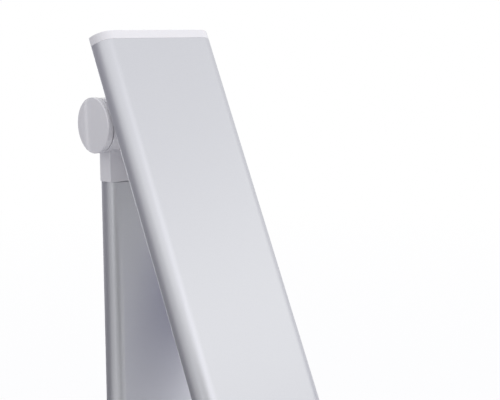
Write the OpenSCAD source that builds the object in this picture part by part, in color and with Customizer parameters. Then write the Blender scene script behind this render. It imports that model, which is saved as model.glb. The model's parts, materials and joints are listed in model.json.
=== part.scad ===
// Desk lamp with a flat head on a flat column: two friction hinges, a weighted base, three push buttons.
// Millimetres. +Z is up, the lamp faces -Y, and the origin is the middle of the pad's underside.

/* [Head] */
// Width of the head's aluminium profile
head_w = 66; // [62:1:74]
// Depth of the profile
head_t = 9.1; // [9:0.1:12]
// Radius of the profile's two front edges
head_front_r = 8.2; // [7:0.1:8.3]
// Radius of the profile's two back edges
head_back_r = 0.7; // [0.4:0.1:0.7]
// Wall of the profile
head_wall = 1.6; // [1.2:0.1:2]
// Length of the profile above the hinge axis
head_above = 32.4; // [30:0.1:40]
// Length of the profile below the hinge axis
head_below = 300; // [240:5:320]
// Thickness of the white end caps
cap_t = 4.2; // [3:0.2:6]
// Thickness of the white frame around the light window
frame_t = 0.9; // [0.8:0.1:1.6]
// Border of the frame around the light window
frame_border = 5; // [4:0.5:9]
// Thickness of the opal diffuser
diffuser_t = 1.5; // [1:0.1:2]
// Angle between the head and the column at rest
head_angle = 26; // [5:1:60]
// Width of the LED board
board_w = 32; // [24:1:33]
// Distance between LEDs along the head
led_step = 12; // [8:1:20]

/* [Hinges] */
// Radius of the round end covers
disc_r = 12.8; // [12.7:0.1:14]
// Thickness of the end covers
disc_t = 3.5; // [2.5:0.1:4]
// Width over both end covers
hinge_w = 68.4; // [66:0.2:76]
// Radius of the knuckles
knuckle_r = 12.5; // [12:0.1:12.6]
// Width of the middle knuckle
middle_w = 28.6; // [24:0.2:30]
// Radius of the hollow axles
axle_r = 5; // [4.4:0.1:5.4]
// Radius of the bore that the lead runs through
axle_bore_r = 2.6; // [2:0.1:3]
// Thickness of the axle nuts
nut_t = 2.5; // [2:0.1:3]
// Thickness of the wave washers
wave_t = 0.8; // [0.5:0.1:1.2]

/* [Column] */
// Width of the column's aluminium profile
column_w = 55.1; // [50:0.1:56]
// Depth of the column's profile
column_t = 7.9; // [7.9:0.1:9]
// Radius of the column's two front edges
column_front_r = 6.6; // [5:0.1:6.6]
// Radius of the column's two back edges
column_back_r = 1.2; // [0.8:0.1:1.2]
// Wall of the column's profile
column_wall = 1.3; // [1:0.1:1.5]
// Length of the aluminium between the two white hinge parts
column_len = 300; // [200:5:360]
// How far the white hinge parts stand proud of the column
neck_proud = 0.35; // [0.1:0.05:0.8]
// Distance from a hinge axis to the end of the column
neck_len = 26.8; // [22:0.2:34]
// Depth of the tongues inside the column
tongue_len = 18; // [14:1:30]

/* [Base] */
// Width of the base
base_w = 190; // [180:1:240]
// Depth of the base
base_d = 150; // [146:1:190]
// Height of the base
base_h = 18; // [18:0.5:24]
// Radius of the base's corners
base_corner_r = 22; // [16:1:30]
// Wall of the base housing
base_wall = 2.4; // [2:0.1:3]
// Width of the white rim around the aluminium deck
rim_w = 3.4; // [3:0.1:6]
// Thickness of the aluminium deck
deck_t = 1.2; // [1:0.1:1.6]
// Thickness of the steel bottom plate
plate_t = 1.5; // [1:0.1:2]
// Thickness of the rubber pad
pad_t = 1.5; // [1.5:0.1:3]
// Distance from the back of the base to the column's middle
column_inset = 30; // [27:1:33]
// Height of the lower hinge axis above the deck
lower_rise = 22; // [20:0.5:34]
// Width of the steel ballast
ballast_w = 144; // [80:2:148]
// Depth of the steel ballast
ballast_d = 48; // [30:1:50]
// Height of the steel ballast
ballast_h = 8; // [4:0.5:8]

/* [Controls] */
// Radius of the round buttons
button_r = 6.5; // [5:0.1:7]
// Distance between buttons
button_step = 24; // [20:1:26]
// How far the buttons stand above the deck
button_proud = 0.8; // [0.8:0.1:2]
// Travel of the buttons
button_travel = 0.8; // [0.4:0.1:1]
// Radius of the barrel socket's bore
socket_r = 2.85; // [2.6:0.05:2.9]
// Radius of the barrel socket's centre pin
socket_pin_r = 1; // [0.8:0.05:1.2]

/* [Hidden] */
$fn = 96;
// Clearances: an axle that turns, two pieces that slide or seat, and a gap that shows
running_gap = 0.05;
seat_gap = 0.2;
show_gap = 0.3;
// Extra length of a cut that leaves a face clean
over = 1;

// Screw sizes: M3 and M4 shanks, heads, and the smaller board screws
screw_r = 1.5;
screw_head_r = 2.8;
screw_head_t = 1.2;
big_screw_r = 2;
big_screw_head_r = 3.6;
board_screw_r = 1.2;
board_screw_head_r = 2.4;
board_screw_head_t = 1.4;
thread_gap = 0.04;

// Heights in the base
plate_z = pad_t;
inside_z = plate_z + plate_t;
deck_z = base_h - deck_t;
roof_z = deck_z - base_wall;
lower_z = base_h + lower_rise;
upper_z = lower_z + 2 * neck_len + column_len;
column_y = base_d / 2 - column_inset;

// Hinge stations along X, from the middle outwards
washer_t = 0.6;
fork_in = middle_w / 2 + washer_t + 2 * running_gap;
disc_in = hinge_w / 2 - disc_t;
fork_out = disc_in - show_gap;
recess_depth = nut_t + wave_t + 5;
recess_in = fork_out - recess_depth;
recess_r = knuckle_r - 2.9;
nut_r = axle_r + 1.5;
axle_half = recess_in + wave_t + nut_t + running_gap + 0.2;

// Hinge parts that hold the column
neck_w = column_w + 2 * neck_proud;
neck_t = column_t + 2 * neck_proud;
neck_edge_r = 0.8;
inner_w = column_w - 2 * column_wall;
inner_t = column_t - 2 * column_wall;
inner_back_r = 0.5;
straight_side = 0.1;
inner_front_r = min(column_front_r - column_wall, inner_t - inner_back_r - straight_side);
tongue_screw_x = 14;
tongue_screw_z = neck_len + tongue_len / 2;

// Head stations: the hinge axis is the local origin and the face looks along -Y
middle_r = knuckle_r - show_gap;
head_gap = 1.2;
rear_y = -(disc_r + head_gap);
back_y = rear_y - frame_t;
face_y = rear_y - head_t;
rib_w = 6;
rib_h = 2;
rib_x = board_w / 2 + rib_w / 2 + seat_gap;
rib_y = face_y + head_wall + rib_h;
bracket_below = head_above - 2;
bracket_block_w = 2 * rib_x + rib_w + 4;
bracket_screw_z = bracket_below - 8;
web_h = 18;
diffuser_gap = 0.1;
diffuser_seat = diffuser_t + diffuser_gap;
cavity_r = head_front_r - head_wall;
frame_half = head_w / 2 - head_wall - seat_gap;
diffuser_dip = max(0, face_y + head_front_r - back_y + diffuser_seat);
diffuser_half = head_w / 2 - head_front_r + sqrt(pow(cavity_r, 2) - pow(diffuser_dip, 2)) - show_gap;
ledge_t = 1.2;
ledge_w = 1.5;
led_board_t = 1.6;
led_board_top = -bracket_below - 6;
led_board_end = -head_below + 8;
led_size = [3.5, 0.8, 2.8];
led_row_x = 8;
connector_size = [8, 3, 5];
connector_drop = 2;
connector_y = face_y + head_wall + led_board_t + connector_size[1] / 2;

// Base stations
base_edge_r = 2;
boss_r = 4;
boss_x = base_w / 2 - 13;
boss_y = base_d / 2 - 13;
pad_margin = 5;
pedestal_block_w = 64;
pedestal_block_d = 28;
pedestal_screw_x = 26;
pedestal_screw_y = 8;
ballast_y = -4;
ballast_back = ballast_y + ballast_d / 2;
ballast_front = ballast_y - ballast_d / 2;

// Control board and buttons
control_w = 84;
control_d = 30;
control_t = 1.6;
control_z = inside_z + 2;
control_top = control_z + control_t;
control_y = -(base_d / 2 - 24);
control_boss_x = control_w / 2 - 5;
control_boss_y = control_d / 2 - 5;
control_boss_r = 3;
tact_size = [6, 6, 3.5];
plunger_r = 1.75;
plunger_len = 3.4;
plunger_up = 1.3;
flange_t = 1.2;
flange_extra = 1.6;
stem_r = 2.2;
button_names_x = [-button_step, 0, button_step];
plug_size = [8, 5, 4.4];
plug_edge = 1;
plug_shift = 0.5;
plug_middle = control_top + plug_size[2] / 2;
chip_size = [7, 6, 1.5];
coil_r = 3.5;
coil_h = 3;
capacitor_r = 3;
capacitor_h = 5.5;
parts_y = control_d / 2 - 6;
control_back = control_y + control_d / 2;

// Barrel socket
socket_inset = 35;
socket_x = -(base_w / 2 - socket_inset);
socket_w = 9;
socket_len = 14.4;
socket_nose_r = 4;
socket_depth = 9.5;
socket_z = inside_z + 5.6;
socket_y = base_d / 2 - base_wall - seat_gap;

// Leads: radius, hole radius, and routes of hand-chosen points
lead_r = 1;
lead_hole_r = 1.7;
lead_turn_r = 2.8;
lead_elbow_r = lead_hole_r + 0.2;
lead_x = -20;
lead_bend_z = -20;
lead_side = 8;
plug_reach = 18;
mouth_x = -(axle_half + 0.5);
mouth_turn = [mouth_x - 2, 0, -3];
mouth_low = [mouth_x - 1.2, 0, -7.5];
ballast_top = inside_z + ballast_h;
over_ballast = (ballast_top + roof_z) / 2;

base_lead_route = concat(
    [[lead_x, control_back + seat_gap, plug_middle],
     [lead_x, control_back + 2.2, plug_middle + seat_gap],
     [lead_x, ballast_front - 2.2, over_ballast],
     [lead_x, ballast_y, over_ballast],
     [lead_x, ballast_back + 2, over_ballast],
     [lead_x, column_y - 16, inside_z + 5],
     [lead_x, column_y - 6, inside_z + 5],
     [lead_x, column_y - 1.6, inside_z + 6],
     [lead_x, column_y, inside_z + 9],
     [lead_x, column_y, lower_z + lead_bend_z]],
    [for (p = mouth_points()) p + [0, column_y, lower_z]]);

column_lead_route = concat(
    [[mouth_x + 0.6, column_y, lower_z],
     [-6, column_y, lower_z],
     [-2, column_y, lower_z + 0.6],
     [-0.4, column_y, lower_z + 2.4],
     [0, column_y, lower_z + 6],
     [0, column_y, lower_z + neck_len + tongue_len + 4],
     [lead_x / 2, column_y, lower_z + neck_len + tongue_len + 40],
     [lead_x, column_y, lower_z + neck_len + tongue_len + 80],
     [lead_x, column_y, upper_z + lead_bend_z]],
    [for (p = mouth_points()) p + [0, column_y, upper_z]]);

head_lead_route = [
    [mouth_x + 0.6, 0, 0],
    [-6, 0, 0],
    [-2, -0.6, 0],
    [-0.4, -2.4, 0],
    [0, -6, 0],
    [0, rib_y + 5, 0],
    [0, rib_y + 2.4, -1.2],
    [0, rib_y + 1.8, -4],
    [0, rib_y + 1.6, led_board_top + 6],
    [0, connector_y, led_board_top + 1],
    [0, connector_y, led_board_top - connector_drop]];

socket_lead_route = [
    [socket_x, socket_y - socket_len, socket_z],
    [socket_x, socket_y - socket_len - 5, socket_z],
    [socket_x - 6, socket_y - socket_len - 13, socket_z],
    [-(ballast_w / 2 + lead_side - 2), ballast_back + 12, socket_z],
    [-(ballast_w / 2 + lead_side), ballast_back, socket_z],
    [-(ballast_w / 2 + lead_side), ballast_front + 2, socket_z],
    [-(ballast_w / 2 + lead_side / 2), ballast_front - 10, socket_z],
    [-control_w / 2 - plug_reach, control_y + plug_shift, plug_middle],
    [-control_w / 2 + plug_edge, control_y + plug_shift, plug_middle]];

// Colours as the photo shows them
aluminium = "#cfd0d5";
white_plastic = "#ecebf0";
steel = "#9a9ca1";
copper_green = "#2f6b46";
dark = "#2b2b2e";

// Points of a lead from its slanted hole to an axle's open end, about a hinge axis
function mouth_points() = [mouth_low, mouth_turn, [mouth_x - 1.2, 0, -0.8], [mouth_x, 0, 0]];

// Unit vectors along a route, and a side vector carried from ring to ring without twist
function unit(v) = v / norm(v);
function along(p, i) = unit(p[min(i + 1, len(p) - 1)] - p[max(i - 1, 0)]);
function square_to(v, t) = unit(v - (v * t) * t);
function sides(p) = [
    for (i = 0, s = square_to([0.3, 1, 0.2], along(p, 0)); i < len(p);
         i = i + 1, s = i < len(p) ? square_to(s, along(p, i)) : s) s];

module tube(route, r, n = 8) {
    s = sides(route);
    rings = [for (i = [0:len(route) - 1], k = [0:n - 1])
        route[i] + r * (cos(360 * k / n) * s[i] + sin(360 * k / n) * cross(along(route, i), s[i]))];
    walls = [for (i = [0:len(route) - 2], k = [0:n - 1], half = [0, 1])
        let (a = i * n + k, b = i * n + (k + 1) % n)
        half == 0 ? [a, a + n, b] : [b, a + n, b + n]];
    first = [[for (k = [0:n - 1]) k]];
    last = [[for (k = [n - 1:-1:0]) (len(route) - 1) * n + k]];
    polyhedron(rings, concat(first, walls, last));
}

// Flat outlines
module spandrel(r) {
    difference() {
        translate([-over, -over]) square(r + over);
        translate([r, r]) circle(r);
    }
}

// Slat outline: flat front on the X axis with round front edges, back edges near sharp
module slat(w, t, front_r, back_r = 0) {
    difference() {
        translate([-w / 2, 0]) square([w, t]);
        for (side = [0, 1])
            mirror([side, 0]) translate([-w / 2, 0]) {
                spandrel(front_r);
                if (back_r > 0) translate([0, t]) mirror([0, 1]) spandrel(back_r);
            }
    }
}

module rounded_rect(w, d, r) {
    difference() {
        square([w, d], center = true);
        for (sx = [0, 1], sy = [0, 1])
            mirror([sx, 0]) mirror([0, sy]) translate([-w / 2, -d / 2]) spandrel(r);
    }
}

// Solids along the hinge axis
module rod_x(r, from, to) {
    translate([from, 0, 0]) rotate([0, 90, 0]) cylinder(r = r, h = to - from);
}

module ring_x(r, bore, from, to) {
    difference() {
        rod_x(r, from, to);
        rod_x(bore, from - over, to + over);
    }
}

module both_sides() {
    children();
    mirror([1, 0, 0]) children();
}

// Screw with its head's flat top at the origin and its shank along -Z
module screw(r, head_r, head_t, length) {
    translate([0, 0, -head_t]) cylinder(r = head_r, h = head_t);
    translate([0, 0, -length]) cylinder(r = r, h = length - head_t / 2);
}

// Countersunk screw, flat top at the origin
module flush_screw(r, head_r, head_t, length) {
    translate([0, 0, -head_t]) cylinder(r1 = r, r2 = head_r, h = head_t);
    translate([0, 0, -length]) cylinder(r = r, h = length - head_t / 2);
}

// Places
module at_lower() { translate([0, column_y, lower_z]) children(); }
module at_upper() { translate([0, column_y, upper_z]) children(); }
module in_head() { at_upper() rotate([-head_angle, 0, 0]) children(); }

// Hinge hardware, shared by both hinges
module axle(hole_turn) {
    color(steel) difference() {
        ring_x(axle_r, axle_bore_r, -axle_half, axle_half);
        rotate([hole_turn, 0, 0]) cylinder(r = lead_hole_r, h = axle_r + over);
    }
}

module axle_nuts() {
    color(steel) both_sides()
        translate([recess_in + running_gap + wave_t, 0, 0]) rotate([0, 90, 0]) difference() {
            cylinder(r = nut_r, h = nut_t, $fn = 6);
            translate([0, 0, -over]) cylinder(r = axle_r + thread_gap, h = nut_t + 2 * over);
        }
}

module wave_washers() {
    color(steel) both_sides()
        ring_x(nut_r + 0.6, axle_r + running_gap, recess_in + running_gap, recess_in + running_gap + wave_t);
}

module friction_washers() {
    color(dark) both_sides()
        ring_x(knuckle_r - 1.5, axle_r + running_gap, middle_w / 2, middle_w / 2 + washer_t);
}

// Round end cover on the +X side: a disc with a soft rim and a ring that plugs the knuckle
module end_cover() {
    rim = 0.9;
    plug_len = 2;
    plug_wall = 1.2;
    color(white_plastic) translate([disc_in, 0, 0]) rotate([0, 90, 0]) {
        rotate_extrude() {
            square([disc_r, disc_t - rim]);
            square([disc_r - rim, disc_t]);
            translate([disc_r - rim, disc_t - rim]) intersection() {
                circle(rim);
                square(rim);
            }
        }
        translate([0, 0, -plug_len]) difference() {
            cylinder(r = recess_r - seat_gap, h = plug_len + disc_t / 2);
            translate([0, 0, -over]) cylinder(r = recess_r - seat_gap - plug_wall, h = plug_len + over);
        }
    }
}

// Two outer knuckles on a slab that runs down from the hinge axis
module fork(slab_len) {
    difference() {
        union() {
            both_sides() rod_x(knuckle_r, fork_in, fork_out);
            translate([0, 0, -slab_len]) linear_extrude(slab_len) rounded_rect(neck_w, neck_t, neck_edge_r);
        }
        rod_x(knuckle_r + show_gap, -fork_in, fork_in);
        both_sides() {
            rod_x(axle_r + running_gap, 0, fork_out);
            rod_x(recess_r, recess_in, fork_out + over);
        }
        slanted_lead_hole();
    }
}

// Way for a lead from the slab up into the left knuckle's recess
module slanted_lead_hole() {
    low = [lead_x, 0, lead_bend_z];
    rise = mouth_low - low;
    translate(low) rotate([0, atan2(rise[0], rise[2]), 0]) cylinder(r = lead_hole_r, h = norm(rise));
    translate(low) sphere(lead_elbow_r);
}

module column_tongue() {
    linear_extrude(tongue_len) translate([0, -inner_t / 2 + seat_gap])
        slat(inner_w - 2 * seat_gap, inner_t - 2 * seat_gap,
             inner_front_r - seat_gap, inner_back_r - seat_gap);
}

module tongue_screws() {
    both_sides() translate([tongue_screw_x, column_t / 2, 0]) rotate([-90, 0, 0])
        flush_screw(screw_r, screw_head_r, column_wall, column_t - column_wall - seat_gap - 1);
}

module tongue_screw_holes() {
    both_sides() translate([tongue_screw_x, -inner_t / 2 + seat_gap + 0.6, 0]) rotate([-90, 0, 0])
        cylinder(r = screw_r + thread_gap, h = column_t);
}

// Base
module base_outline(inset) {
    rounded_rect(base_w - 2 * inset, base_d - 2 * inset, base_corner_r - inset);
}

module each_boss() {
    for (x = [-boss_x, boss_x], y = [-boss_y, boss_y]) translate([x, y, 0]) children();
}

module each_pedestal_screw() {
    for (x = [-pedestal_screw_x, pedestal_screw_x], y = [-pedestal_screw_y, pedestal_screw_y])
        translate([x, column_y + y, 0]) children();
}

module each_control_boss() {
    for (x = [-control_boss_x, control_boss_x], y = [-control_boss_y, control_boss_y])
        translate([x, control_y + y, 0]) children();
}

module each_button() {
    for (x = button_names_x) translate([x, control_y, 0]) children();
}

module deck_openings(gap) {
    each_button() cylinder(r = button_r + gap, h = base_h + over);
    translate([0, column_y, 0]) linear_extrude(base_h + over)
        rounded_rect(neck_w + 2 * gap, neck_t + 2 * gap, neck_edge_r + gap);
}

module base_housing() {
    color(white_plastic) difference() {
        union() {
            difference() {
                hull() {
                    translate([0, 0, plate_z]) linear_extrude(base_h - plate_z - base_edge_r) base_outline(0);
                    translate([0, 0, plate_z]) linear_extrude(base_h - plate_z - base_edge_r / 3)
                        base_outline(base_edge_r / 4);
                    translate([0, 0, plate_z]) linear_extrude(base_h - plate_z) base_outline(base_edge_r);
                }
                translate([0, 0, plate_z - over])
                    linear_extrude(roof_z - plate_z + over) base_outline(base_wall);
                translate([0, 0, deck_z]) linear_extrude(base_h) base_outline(rim_w);
            }
            each_boss() translate([0, 0, inside_z])
                cylinder(r = boss_r, h = roof_z - inside_z + base_wall / 2);
            each_control_boss() translate([0, 0, control_top])
                cylinder(r = control_boss_r, h = roof_z - control_top + base_wall / 2);
        }
        each_boss() translate([0, 0, inside_z - over])
            cylinder(r = screw_r + thread_gap, h = roof_z - inside_z + over - 1);
        each_control_boss() translate([0, 0, control_top - over])
            cylinder(r = board_screw_r + thread_gap, h = roof_z - control_top + over - 1);
        deck_openings(show_gap);
        translate([socket_x, base_d / 2 + over, socket_z]) rotate([90, 0, 0])
            cylinder(r = socket_nose_r + seat_gap, h = base_wall + 2 * over);
    }
}

module base_deck() {
    color(aluminium) difference() {
        translate([0, 0, deck_z]) linear_extrude(deck_t) base_outline(rim_w + seat_gap);
        deck_openings(show_gap);
    }
}

module base_plate() {
    color(steel) difference() {
        translate([0, 0, plate_z]) linear_extrude(plate_t) base_outline(base_wall + show_gap);
        each_boss() cylinder(r = screw_r + seat_gap, h = inside_z + over);
        each_pedestal_screw() cylinder(r = big_screw_r + seat_gap, h = inside_z + over);
    }
}

module anti_slip_pad() {
    color(dark) difference() {
        linear_extrude(pad_t) base_outline(pad_margin);
        each_boss() translate([0, 0, -over]) cylinder(r = screw_head_r + 1, h = pad_t + 2 * over);
        each_pedestal_screw() translate([0, 0, -over])
            cylinder(r = big_screw_head_r + 1, h = pad_t + 2 * over);
    }
}

module ballast() {
    color(steel) translate([0, ballast_y, inside_z]) linear_extrude(ballast_h)
        rounded_rect(ballast_w, ballast_d, 4);
}

module housing_screws() {
    color(steel) each_boss() translate([0, 0, plate_z - screw_head_t]) mirror([0, 0, 1])
        screw(screw_r, screw_head_r, screw_head_t, roof_z - plate_z - 2 + screw_head_t);
}

module pedestal() {
    color(white_plastic) difference() {
        union() {
            at_lower() fork(lower_z - roof_z + 2 * seat_gap);
            translate([0, column_y, inside_z]) linear_extrude(roof_z - seat_gap - inside_z)
                rounded_rect(pedestal_block_w, pedestal_block_d, 3);
        }
        each_pedestal_screw() translate([0, 0, inside_z - over])
            cylinder(r = big_screw_r + thread_gap, h = roof_z - inside_z - 1);
        translate([lead_x, column_y, inside_z + 4])
            cylinder(r = lead_hole_r, h = lower_z + lead_bend_z - inside_z - 4);
        translate([lead_x, column_y + lead_hole_r, inside_z + 5]) rotate([90, 0, 0])
            cylinder(r = lead_turn_r, h = pedestal_block_d);
    }
}

module pedestal_screws() {
    color(steel) each_pedestal_screw() translate([0, 0, plate_z - screw_head_t]) mirror([0, 0, 1])
        screw(big_screw_r, big_screw_head_r, screw_head_t, roof_z - plate_z - 3 + screw_head_t);
}

module control_board() {
    color(copper_green) difference() {
        translate([0, control_y, control_z]) linear_extrude(control_t) rounded_rect(control_w, control_d, 2);
        each_control_boss() translate([0, 0, control_z - over])
            cylinder(r = board_screw_r + seat_gap, h = control_t + 2 * over);
    }
}

module board_screws() {
    color(steel) each_control_boss() translate([0, 0, control_z - board_screw_head_t]) mirror([0, 0, 1])
        screw(board_screw_r, board_screw_head_r, board_screw_head_t, roof_z - control_z);
}

// Plugs for the two leads, the driver chip, a coil and a capacitor, in front of and behind the switches
module board_parts() {
    color(dark) translate([0, control_y, control_top]) {
        translate([lead_x - plug_size[0] / 2, control_d / 2 - plug_size[1], 0]) cube(plug_size);
        translate([-control_w / 2 + plug_edge, plug_shift - plug_size[0] / 2, 0])
            cube([plug_size[1], plug_size[0], plug_size[2]]);
        translate([-chip_size[0] / 2, parts_y - chip_size[1] / 2, 0]) cube(chip_size);
        translate([button_step / 2, parts_y, 0]) cylinder(r = coil_r, h = coil_h);
        translate([button_step, parts_y, 0]) cylinder(r = capacitor_r, h = capacitor_h);
    }
}

module tact_switches() {
    color(dark) each_button() translate([0, 0, control_top]) difference() {
        translate([-tact_size[0] / 2, -tact_size[1] / 2, 0]) cube(tact_size);
        translate([0, 0, tact_size[2] + plunger_up - plunger_len - button_travel - seat_gap])
            cylinder(r = plunger_r + running_gap, h = tact_size[2] + over);
    }
}

// Button with its plunger's top as the foot of the stem
module button(x) {
    foot = control_top + tact_size[2] + plunger_up;
    top = base_h + button_proud;
    flange_top = roof_z - seat_gap;
    crown = 0.5;
    color(white_plastic) translate([x, control_y, 0]) {
        translate([0, 0, foot]) cylinder(r = stem_r, h = flange_top - foot);
        translate([0, 0, flange_top - flange_t]) cylinder(r = button_r + flange_extra, h = flange_t);
        translate([0, 0, flange_top]) cylinder(r = button_r, h = top - crown - flange_top);
        translate([0, 0, top - crown]) cylinder(r1 = button_r, r2 = button_r - crown, h = crown);
    }
}

module plunger(x) {
    color(dark) translate([x, control_y, control_top + tact_size[2] + plunger_up - plunger_len])
        cylinder(r = plunger_r, h = plunger_len);
}

module power_button() { button(button_names_x[0]); }
module power_plunger() { plunger(button_names_x[0]); }
module brightness_button() { button(button_names_x[1]); }
module brightness_plunger() { plunger(button_names_x[1]); }
module colour_button() { button(button_names_x[2]); }
module colour_plunger() { plunger(button_names_x[2]); }

module dc_socket() {
    mouth = base_d / 2 - seat_gap;
    color(dark) difference() {
        union() {
            translate([socket_x - socket_w / 2, socket_y - socket_len, inside_z])
                cube([socket_w, socket_len, roof_z - seat_gap - inside_z]);
            translate([socket_x, mouth, socket_z]) rotate([90, 0, 0])
                cylinder(r = socket_nose_r, h = base_wall + over);
        }
        translate([socket_x, mouth + over, socket_z]) rotate([90, 0, 0])
            cylinder(r = socket_r, h = socket_depth + over);
    }
}

module dc_socket_pin() {
    color(steel) translate([socket_x, base_d / 2 - seat_gap - 1, socket_z]) rotate([90, 0, 0])
        cylinder(r = socket_pin_r, h = socket_depth - 1);
}

module socket_lead() { color(dark) tube(socket_lead_route, lead_r); }
module base_lead() { color(dark) tube(base_lead_route, lead_r); }
module lower_cover_left() { at_lower() mirror([1, 0, 0]) end_cover(); }
module lower_cover_right() { at_lower() end_cover(); }

// Column
module column_tube() {
    color(aluminium) difference() {
        translate([0, column_y, lower_z + neck_len]) linear_extrude(column_len) difference() {
            translate([0, -column_t / 2]) slat(column_w, column_t, column_front_r, column_back_r);
            translate([0, -inner_t / 2]) slat(inner_w, inner_t, inner_front_r, inner_back_r);
        }
        for (z = [lower_z + tongue_screw_z, upper_z - tongue_screw_z])
            translate([0, column_y, z]) both_sides()
                translate([tongue_screw_x, column_t / 2, 0]) rotate([-90, 0, 0]) {
                    translate([0, 0, -column_wall]) cylinder(r1 = screw_r + running_gap,
                        r2 = screw_head_r + running_gap, h = column_wall);
                    translate([0, 0, -column_wall - over]) cylinder(r = screw_r + running_gap, h = 2 * over);
                }
    }
}

module column_foot() {
    slab_low = knuckle_r + 3 * show_gap;
    color(white_plastic) at_lower() difference() {
        union() {
            rod_x(middle_r, -middle_w / 2, middle_w / 2);
            translate([0, 0, slab_low]) linear_extrude(neck_len - slab_low)
                rounded_rect(neck_w, neck_t, neck_edge_r);
            translate([-middle_w / 2, -neck_t / 2, 0]) cube([middle_w, neck_t, slab_low + over]);
            translate([0, 0, neck_len]) column_tongue();
        }
        rod_x(axle_r + thread_gap, -middle_w, middle_w);
        cylinder(r = lead_hole_r, h = neck_len + tongue_len + over);
        translate([0, 0, tongue_screw_z]) tongue_screw_holes();
    }
}

module foot_screws() { color(steel) translate([0, column_y, lower_z + tongue_screw_z]) tongue_screws(); }

module column_neck() {
    color(white_plastic) at_upper() difference() {
        union() {
            fork(neck_len);
            translate([0, 0, -neck_len - tongue_len]) column_tongue();
        }
        translate([lead_x, 0, -neck_len - tongue_len - over])
            cylinder(r = lead_hole_r, h = neck_len + tongue_len + over + lead_bend_z);
        translate([0, 0, -tongue_screw_z]) tongue_screw_holes();
    }
}

module neck_screws() { color(steel) translate([0, column_y, upper_z - tongue_screw_z]) tongue_screws(); }
module column_lead() { color(dark) tube(column_lead_route, lead_r); }
module lower_axle() { at_lower() axle(0); }
module lower_axle_nuts() { at_lower() axle_nuts(); }
module lower_wave_washers() { at_lower() wave_washers(); }
module lower_friction_washers() { at_lower() friction_washers(); }
module upper_cover_left() { at_upper() mirror([1, 0, 0]) end_cover(); }
module upper_cover_right() { at_upper() end_cover(); }

// Head
module head_section() {
    difference() {
        slat(head_w, head_t, head_front_r, head_back_r);
        translate([0, head_wall]) slat(head_w - 2 * head_wall, head_t - head_wall + over, cavity_r);
    }
    intersection() {
        slat(head_w, head_t, head_front_r, head_back_r);
        for (side = [0, 1])
            mirror([side, 0]) {
                translate([rib_x - rib_w / 2, head_wall / 2]) square([rib_w, head_wall / 2 + rib_h]);
                translate([diffuser_half - ledge_w, head_t - frame_t - diffuser_seat - ledge_t])
                    square([head_w / 2 - diffuser_half + ledge_w - head_wall / 2, ledge_t]);
            }
    }
}

module each_bracket_screw() {
    for (x = [-rib_x, rib_x], z = [-bracket_screw_z, bracket_screw_z])
        translate([x, rear_y, z]) rotate([-90, 0, 0]) children();
}

module head_shell() {
    color(aluminium) in_head() difference() {
        translate([0, face_y, -head_below]) linear_extrude(head_above + head_below) head_section();
        each_bracket_screw() translate([0, 0, face_y + 1 - rear_y])
            cylinder(r = screw_r + thread_gap, h = head_wall + rib_h);
    }
}

// End cap with soft outer edges and a tongue between the ribs, outer end up
module head_cap() {
    soft = 1;
    tongue = 2.5;
    tongue_t = 3;
    hull() {
        linear_extrude(cap_t - soft) slat(head_w, head_t, head_front_r, head_back_r, $fn = 32);
        linear_extrude(cap_t - soft / 3) translate([0, soft / 4])
            slat(head_w - soft / 2, head_t - soft / 2, head_front_r - soft / 4, head_back_r, $fn = 32);
        linear_extrude(cap_t) translate([0, soft])
            slat(head_w - 2 * soft, head_t - 2 * soft, head_front_r - soft, $fn = 32);
    }
    translate([-board_w / 2 + over, head_wall + seat_gap, -tongue])
        cube([board_w - 2 * over, tongue_t, tongue + cap_t / 2]);
}

module head_cap_upper() { color(white_plastic) in_head() translate([0, face_y, head_above]) head_cap(); }

module head_cap_lower() {
    color(white_plastic) in_head() translate([0, face_y, -head_below]) mirror([0, 0, 1]) head_cap();
}

// White cover of the head's upper end, with the middle knuckle on it
module hinge_bracket() {
    block_low = bracket_below - 4;
    block_high = head_above - 4;
    counterbore = screw_head_t + frame_t / 2;
    color(white_plastic) in_head() difference() {
        union() {
            translate([-frame_half, back_y, -bracket_below])
                cube([2 * frame_half, frame_t, bracket_below + head_above]);
            translate([-bracket_block_w / 2, rib_y, -block_low])
                cube([bracket_block_w, back_y - rib_y + frame_t / 2, block_low + block_high]);
            translate([-middle_w / 2, back_y, -web_h / 2]) cube([middle_w, -back_y, web_h]);
            rod_x(middle_r, -middle_w / 2, middle_w / 2);
        }
        rod_x(axle_r + thread_gap, -middle_w, middle_w);
        each_bracket_screw() {
            translate([0, 0, -counterbore]) cylinder(r = screw_head_r + seat_gap, h = counterbore + over);
            translate([0, 0, rib_y - rear_y - over])
                cylinder(r = screw_r + seat_gap, h = rear_y - rib_y + over);
        }
        rotate([90, 0, 0]) cylinder(r = lead_hole_r, h = -rib_y + over);
        translate([-lead_hole_r - 0.3, rib_y - over, -bracket_below - over])
            cube([2 * lead_hole_r + 0.6, over + 4, bracket_below + over + 2]);
    }
}

module bracket_screws() {
    sunk = frame_t / 2;
    length = rear_y - sunk - face_y - head_wall / 2 - 0.6;
    color(steel) in_head() each_bracket_screw() translate([0, 0, -sunk])
        screw(screw_r, screw_head_r, screw_head_t, length);
}

module upper_axle() { in_head() axle(90); }
module upper_axle_nuts() { in_head() axle_nuts(); }
module upper_wave_washers() { in_head() wave_washers(); }
module upper_friction_washers() { in_head() friction_washers(); }

module led_board() {
    color("white") in_head() translate([-board_w / 2, face_y + head_wall, led_board_end])
        cube([board_w, led_board_t, led_board_top - led_board_end]);
}

module led_chips() {
    first = led_board_end + led_step;
    last = led_board_top - connector_size[2] - led_step;
    color("khaki") in_head()
        for (x = [-led_row_x, led_row_x], z = [first:led_step:last])
            translate([x - led_size[0] / 2, face_y + head_wall + led_board_t, z - led_size[2] / 2])
                cube(led_size);
}

module led_connector() {
    color("white") in_head()
        translate([-connector_size[0] / 2, face_y + head_wall + led_board_t,
                   led_board_top - connector_drop - connector_size[2]])
            cube(connector_size);
}

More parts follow.
